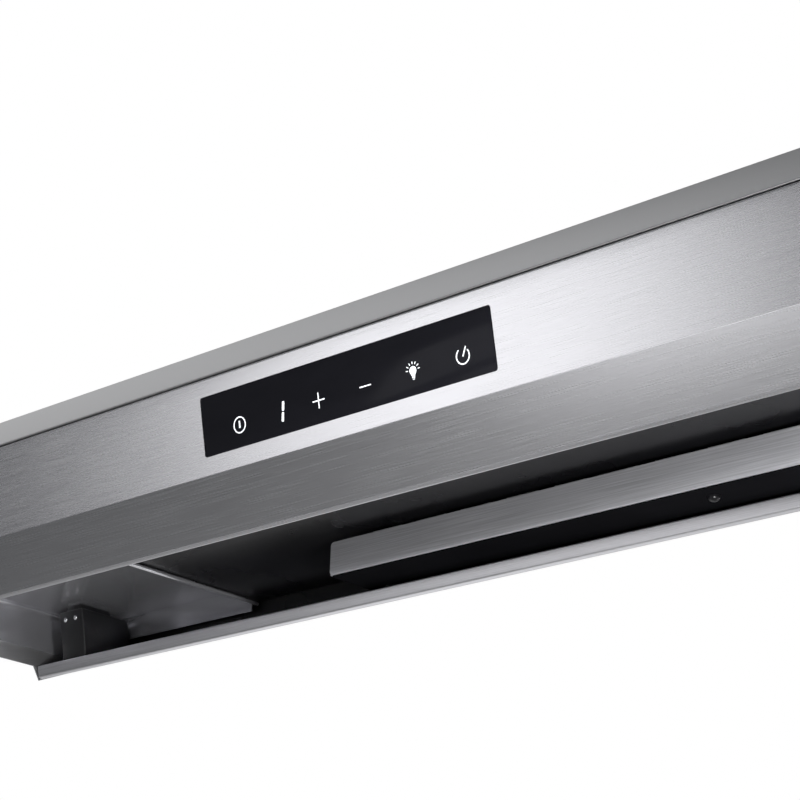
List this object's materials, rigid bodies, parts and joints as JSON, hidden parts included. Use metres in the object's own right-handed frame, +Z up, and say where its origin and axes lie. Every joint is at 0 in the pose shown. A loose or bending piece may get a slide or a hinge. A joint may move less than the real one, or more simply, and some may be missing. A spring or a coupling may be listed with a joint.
{
  "type": "under cabinet range hood",
  "caption": "Slim stainless under cabinet range hood with a touch control strip, sloped baffle filters, a front suction plate and a grease trough.",
  "frame": {"origin": "middle of the four cabinet screw holes, on the top face", "axes": "+Z up out of the top face, +Y towards the wall, +X along the width, to the right as the cook sees it"},
  "size_m": [0.9172, 0.48, 0.2082],
  "materials": {
    "fascia_steel": "horizontal brushed, satin",
    "body_steel": "fine satin",
    "pan_steel": "bright satin, mirror like at low angles",
    "plate_steel": "brushed along its length",
    "trough_steel": "brushed along its length",
    "filter_steel": "fine satin",
    "zinc_sheet": "zinc coated, dull",
    "dark_enamel": "gloss enamel",
    "black_glass": "polished",
    "symbol_white": "lit white",
    "black_moulded": "fine grain",
    "bright_screw": "polished",
    "lamp_glass": "frosted",
    "lamp_casting": "as cast",
    "motor_paint": "semi gloss",
    "board_green": "solder mask"
  },
  "bodies": {
    "hood": {"blower_housing": "zinc_sheet", "blower_inlet_left": "zinc_sheet", "blower_inlet_right": "zinc_sheet", "blower_motor": "motor_paint", "cable_bushing": "black_moulded", "control_board": "board_green", "control_housing": "black_moulded", "cross_rail": "dark_enamel", "damper_pins": "bright_screw", "display_digit": "symbol_white", "duct_collar": "zinc_sheet", "duct_plate": "zinc_sheet", "enamel_liner": "dark_enamel", "front_fascia": "fascia_steel", "hanger_screws": "dark_enamel", "junction_box": "zinc_sheet", "junction_cover": "zinc_sheet", "lamp_bezel_left": "bright_screw", "lamp_bezel_right": "bright_screw", "lamp_body_left": "lamp_casting", "lamp_body_right": "lamp_casting", "lamp_lens_left": "lamp_glass", "lamp_lens_right": "lamp_glass", "motor_bracket": "zinc_sheet", "pan_left": "pan_steel", "pan_right": "pan_steel", "plate_screws": "dark_enamel", "plate_studs": "dark_enamel", "plate_underlay": "dark_enamel", "plenum_tray": "zinc_sheet", "rear_panel": "zinc_sheet", "rear_rail": "body_steel", "rolled_edge": "pan_steel", "run_capacitor": "lamp_casting", "side_panel_left": "body_steel", "side_panel_right": "body_steel", "side_screws": "bright_screw", "suction_plate": "plate_steel", "top_panel": "body_steel", "top_wing_left": "body_steel", "top_wing_right": "body_steel", "touch_glass": "black_glass", "touch_symbols": "symbol_white", "trough_hanger_left": "black_moulded", "trough_hanger_right": "black_moulded"},
    "rotor": {"motor_shaft": "bright_screw", "impeller_left": "zinc_sheet", "impeller_right": "zinc_sheet"},
    "flap_left": {"damper_flap_left": "zinc_sheet"},
    "flap_right": {"damper_flap_right": "zinc_sheet"},
    "trough": {"grease_trough": "trough_steel"},
    "filter_left": {"filter_frame_left": "filter_steel", "filter_baffles_left": "filter_steel"},
    "latch_left": {"filter_latch_left": "black_moulded"},
    "filter_centre": {"filter_frame_centre": "filter_steel", "filter_baffles_centre": "filter_steel"},
    "latch_centre": {"filter_latch_centre": "black_moulded"},
    "filter_right": {"filter_frame_right": "filter_steel", "filter_baffles_right": "filter_steel"},
    "latch_right": {"filter_latch_right": "black_moulded"}
  },
  "joints": [
    {"name": "rotor_spin", "type": "hinge", "parent": "hood", "child": "rotor", "pos_m": [0, 0.09, -0.058], "axis": [1, 0, 0], "continuous": true},
    {"name": "flap_left_swing", "type": "hinge", "parent": "hood", "child": "flap_left", "pos_m": [-0.0035, 0.09, 0.024], "axis": [0, 1, 0], "range_deg": [0, 75]},
    {"name": "flap_right_swing", "type": "hinge", "parent": "hood", "child": "flap_right", "pos_m": [0.0035, 0.09, 0.024], "axis": [0, -1, 0], "range_deg": [0, 75]},
    {"name": "trough_drop", "type": "slide", "parent": "hood", "child": "trough", "axis": [0, 0, -1], "range_m": [0, 0.05]},
    {"name": "filter_left_drop", "type": "hinge", "parent": "hood", "child": "filter_left", "pos_m": [-0.302, -0.03358, -0.14202], "axis": [-1, 0, 0], "range_deg": [0, 50]},
    {"name": "latch_left_slide", "type": "slide", "parent": "filter_left", "child": "latch_left", "axis": [0, -0.9843, -0.1764], "range_m": [0, 0.006], "stiffness_N_per_m": 80},
    {"name": "filter_centre_drop", "type": "hinge", "parent": "hood", "child": "filter_centre", "pos_m": [0, -0.03358, -0.14202], "axis": [-1, 0, 0], "range_deg": [0, 50]},
    {"name": "latch_centre_slide", "type": "slide", "parent": "filter_centre", "child": "latch_centre", "axis": [0, -0.9843, -0.1764], "range_m": [0, 0.006], "stiffness_N_per_m": 80},
    {"name": "filter_right_drop", "type": "hinge", "parent": "hood", "child": "filter_right", "pos_m": [0.302, -0.03358, -0.14202], "axis": [-1, 0, 0], "range_deg": [0, 50]},
    {"name": "latch_right_slide", "type": "slide", "parent": "filter_right", "child": "latch_right", "axis": [0, -0.9843, -0.1764], "range_m": [0, 0.006], "stiffness_N_per_m": 80}
  ]
}
